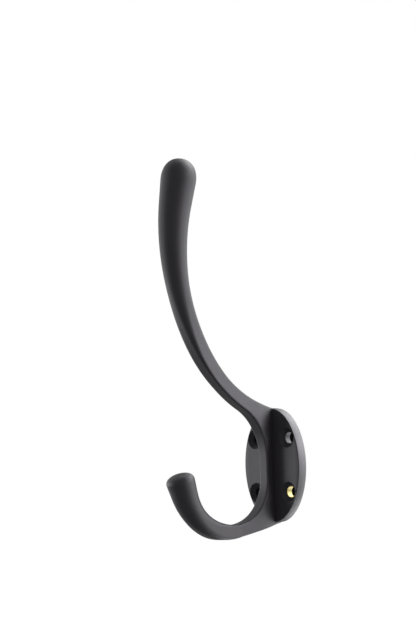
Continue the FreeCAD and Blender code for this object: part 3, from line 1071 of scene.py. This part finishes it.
@dataclass
class Studio:
    """White sweep, light tent, softboxes and the photograph's camera.

    Angles are in degrees, distances in metres, sizes of discs in mm, and places in
    the image in its pixels.
    """

    azimuth: float = 46.0
    elevation: float = -4.4
    roll: float = -1.9
    distance: float = 0.881
    nearest: float = 0.01
    farthest: float = 20.0
    focal_px: float = 2190.0
    image_width: float = 416.0
    image_height: float = 626.0
    aim_u: float = 271.5
    aim_v: float = 465.3
    # The softboxes stand round a point this far in front of the wall.
    lamp_middle_y: float = -0.03
    floor_drop: float = 0.16
    floor_half: float = 3.0
    paper: str = "#c8c8c8"
    # Colour of the discs behind the bores, which are painted shade.
    bore_shade_colour: str = "#1c1b1d"
    disc_depth: float = 0.1
    disc_margin: float = 0.6
    disc_sides: int = 48
    fill: float = 1.0
    dim: float = 0.05
    # Name, azimuth, height, reach round, reach high, level.
    panels: tuple[Panel, ...] = (
        Panel("right_back", 147.0, 14.0, 62.0, 64.0, 3.3),
        Panel("right", 105.0, 5.0, 35.0, 60.0, 0.8),
        Panel("back_high", 172.0, 46.0, 60.0, 34.0, 8.0),
        Panel("back_low", 178.0, -38.0, 42.0, 26.0, 6.5),
        Panel("back", 200.0, 0.0, 70.0, 45.0, 0.8),
        Panel("left", 276.0, 14.0, 48.0, 55.0, 1.6),
        Panel("left_low", 255.0, -35.0, 45.0, 40.0, 0.6),
        Panel("left_front", 312.0, 6.0, 24.0, 24.0, 2.2),
        Panel("roof", 230.0, 80.0, 110.0, 50.0, 1.3),
    )
    # Name, azimuth, distance, lower edge, upper edge, width, radiance.
    softboxes: tuple[Softbox, ...] = (
        Softbox("right_back_box", 132.0, 0.8, -0.1, 0.55, 0.75, 0.3),
        Softbox("web_box", 134.0, 0.11, 0.015, 0.055, 0.06, 4.6),
        Softbox("left_box", -80.0, 0.8, -0.05, 0.45, 0.6, 0.2),
        Softbox("plate_box", -60.0, 0.2, -0.05, 0.045, 0.1, 3.8),
    )

    def axes(self) -> tuple[Vector, Vector, Vector]:
        """Turn the camera's angles into directions.

        Returns:
            The camera's right, up and back.
        """
        a, e, r = (math.radians(angle) for angle in (self.azimuth, self.elevation, self.roll))
        right = Vector((math.cos(a), math.sin(a), 0.0))
        back = Vector((math.sin(a) * math.cos(e), -math.cos(a) * math.cos(e), math.sin(e)))
        up = back.cross(right)
        rolled_right = right * math.cos(r) + up * math.sin(r)
        rolled_up = up * math.cos(r) - right * math.sin(r)
        return rolled_right, rolled_up, back

    def add_camera(self, plate: WallPlate) -> None:
        """Place the camera so that the plate's centre falls where the photograph has it.

        Args:
            plate: The wall plate. The middle of its face is what the camera aims by.
        """
        right, up, back = self.axes()
        aside = (self.aim_u - self.image_width / 2) / self.focal_px * self.distance
        above = (self.image_height / 2 - self.aim_v) / self.focal_px * self.distance
        data = bpy.data.cameras.new("photo_camera")
        data.lens = data.sensor_width * self.focal_px / self.image_height
        data.clip_start = self.nearest
        data.clip_end = self.farthest
        camera = bpy.data.objects.new("photo_camera", data)
        bpy.context.scene.collection.objects.link(camera)
        camera.matrix_world = Matrix((right, up, back)).transposed().to_4x4()
        aim = Vector((0.0, -plate.thick * MM, 0.0))
        camera.location = aim - right * aside - up * above + back * self.distance
        bpy.context.scene.camera = camera

    def add_softbox(self, box: Softbox) -> None:
        """Stand a softbox beside the hook, out of the camera's sight.

        Args:
            box: Its name, place, size and brightness.
        """
        data = bpy.data.lights.new(box.name, "AREA")
        data.shape = "RECTANGLE"
        data.size = box.wide
        data.size_y = box.high - box.low
        data.energy = box.radiance * math.pi * box.wide * (box.high - box.low)
        lamp = bpy.data.objects.new(box.name, data)
        bpy.context.scene.collection.objects.link(lamp)
        turn = math.radians(box.azimuth)
        outward = Vector((math.sin(turn), -math.cos(turn), 0.0))
        middle = Vector((0.0, self.lamp_middle_y, (box.low + box.high) / 2))
        lamp.location = middle + outward * box.away
        lamp.rotation_mode = "QUATERNION"
        lamp.rotation_quaternion = outward.to_track_quat("Z", "Y")
        lamp.visible_camera = False

    def seen_directly(self, tree: bpy.types.NodeTree) -> bpy.types.Node:
        """Tell the rays that see the studio directly, also through glass, from all others.

        Args:
            tree: The tree of the world or of a material.

        Returns:
            A node that is 1 for such rays and 0 for others.
        """
        rays = add_node(tree, "ShaderNodeLightPath")
        return add_node(tree, MATHS, {"operation": "MAXIMUM"}, {
            0: rays.outputs["Is Camera Ray"], 1: rays.outputs["Is Transmission Ray"],
        })

    def add_floor(self) -> None:
        """Lay a floor of white paper below the hook."""
        mesh = bpy.data.meshes.new("floor")
        corners = ((-1.0, -1.0), (1.0, -1.0), (1.0, 1.0), (-1.0, 1.0))
        points = [(x * self.floor_half, y * self.floor_half, -self.floor_drop) for x, y in corners]
        mesh.from_pydata(points, [], [(0, 1, 2, 3)])
        floor = mesh_object("floor", mesh)
        material = empty_material("white_sweep")
        tree = material.node_tree
        paper = add_node(tree, "ShaderNodeBsdfDiffuse", {}, {"Color": to_linear(self.paper)})
        # The glow brings the paper up to white and leaves the hook's shadow on it.
        glow = add_node(tree, "ShaderNodeEmission", {}, {"Strength": self.seen_directly(tree)})
        lit = add_node(tree, "ShaderNodeAddShader", {}, {0: paper, 1: glow})
        add_node(tree, "ShaderNodeOutputMaterial", {}, {"Surface": lit})
        mesh.materials.append(material)
        floor.visible_glossy = False

    def add_bore_shade_discs(self, plate: WallPlate) -> None:
        """Close the back of each screw bore with a dark disc, a painted shade that keeps
        the bores dark.

        The discs on the right only hide the white paper from the camera, and let the
        tent's light into the bores.

        Args:
            plate: The plate whose bores are closed.
        """
        material = empty_material("painted_bore_shade")
        tree = material.node_tree
        # Flat dark card behind the bores: painted shade.
        black = add_node(tree, "ShaderNodeBsdfDiffuse", {}, {"Color": to_linear(self.bore_shade_colour)})
        add_node(tree, "ShaderNodeOutputMaterial", {}, {"Surface": black})
        turns = [2.0 * math.pi * index / self.disc_sides for index in range(self.disc_sides)]
        radius = (plate.bore / 2 + self.disc_margin) * MM
        y = -self.disc_depth * MM
        for side in (-1.0, 1.0):
            for level in (-1.0, 1.0):
                x, z = side * plate.pitch_x / 2 * MM, level * plate.pitch_z / 2 * MM
                rim = [(x + radius * math.cos(t), y, z + radius * math.sin(t)) for t in turns]
                mesh = bpy.data.meshes.new("bore_shade_disc")
                mesh.from_pydata(rim, [], [tuple(range(self.disc_sides))])
                mesh.materials.append(material)
                disc = mesh_object("bore_shade_disc", mesh)
                disc.visible_glossy = disc.visible_diffuse = disc.visible_shadow = side < 0.0

    def add_world(self) -> None:
        """Surround the hook with a light tent.

        The camera and glass see plain white. Gloss sees the tent's panels, bright
        behind the hook and dim in front of it, and matt surfaces get an even fill.
        """
        world = bpy.data.worlds.new("studio")
        bpy.context.scene.world = world
        world.use_nodes = True
        tree = world.node_tree
        tree.nodes.clear()
        white, fill, tent = (
            add_node(tree, "ShaderNodeBackground", {}, {"Color": WHITE, "Strength": strength})
            for strength in (1.0, self.fill, self.tent_level(tree))
        )
        rays = add_node(tree, "ShaderNodeLightPath")
        unseen = add_node(tree, "ShaderNodeMixShader", {}, {
            0: rays.outputs["Is Glossy Ray"], 1: fill, 2: tent,
        })
        mixed = add_node(tree, "ShaderNodeMixShader", {}, {
            0: self.seen_directly(tree), 1: unseen, 2: white,
        })
        add_node(tree, "ShaderNodeOutputWorld", {}, {"Surface": mixed})

    def tent_level(self, tree: bpy.types.NodeTree) -> bpy.types.Node:
        """Work out how bright the tent's cloth is in each direction.

        Args:
            tree: The world's tree.

        Returns:
            A node with the brightness, where 1 is white.
        """
        way = add_node(tree, "ShaderNodeTexCoord").outputs["Generated"]
        split = add_node(tree, "ShaderNodeSeparateXYZ", {}, {0: way})
        front = add_node(tree, MATHS, {"operation": "MULTIPLY"}, {0: split.outputs["Y"], 1: -1.0})
        angles = {}
        for name, operation, terms in (
            ("azimuth", "ARCTAN2", {0: split.outputs["X"], 1: front}),
            ("height", "ARCSINE", {0: split.outputs["Z"]}),
        ):
            angle = add_node(tree, MATHS, {"operation": operation}, terms)
            angles[name] = add_node(tree, MATHS, {"operation": "DEGREES"}, {0: angle})
        level = self.dim
        for panel in self.panels:
            aside = add_node(tree, MATHS, {"operation": "SUBTRACT"}, {
                0: angles["azimuth"], 1: panel.azimuth,
            })
            around = add_node(tree, MATHS, {"operation": "WRAP"}, {0: aside, 1: 180.0, 2: -180.0})
            above = add_node(tree, MATHS, {"operation": "SUBTRACT"}, {
                0: angles["height"], 1: panel.height,
            })
            fades = []
            for offset, reach in ((around, panel.reach_round), (above, panel.reach_high)):
                away = add_node(tree, MATHS, {"operation": "ABSOLUTE"}, {0: offset})
                fades.append(add_node(
                    tree, "ShaderNodeMapRange", {"interpolation_type": "SMOOTHSTEP"},
                    {"Value": away, "From Max": reach, "To Min": 1.0, "To Max": 0.0},
                ))
            shape = add_node(tree, MATHS, {"operation": "MULTIPLY"}, {0: fades[0], 1: fades[1]})
            level = add_node(tree, MATHS, {"operation": "MULTIPLY_ADD"}, {
                0: shape, 1: panel.level, 2: level,
            })
        return level

    def build(self, plate: WallPlate) -> None:
        """Set up camera, world, floor, discs and softboxes.

        Args:
            plate: The wall plate that the camera aims by and whose bores are closed.
        """
        self.add_camera(plate)
        self.add_world()
        self.add_floor()
        self.add_bore_shade_discs(plate)
        for box in self.softboxes:
            self.add_softbox(box)
        bpy.context.scene.view_settings.view_transform = "Standard"
        LOG.info("studio has %d panels and %d softboxes", len(self.panels), len(self.softboxes))


def main() -> None:
    """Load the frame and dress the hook."""
    logging.basicConfig(level=logging.INFO)
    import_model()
    casting = Casting()
    Studio().build(casting.plate)
    hook = casting.build(BlackCoat().build(casting.plate))
    LOG.info("built %s", hook.name)


if __name__ == "__main__":
    main()
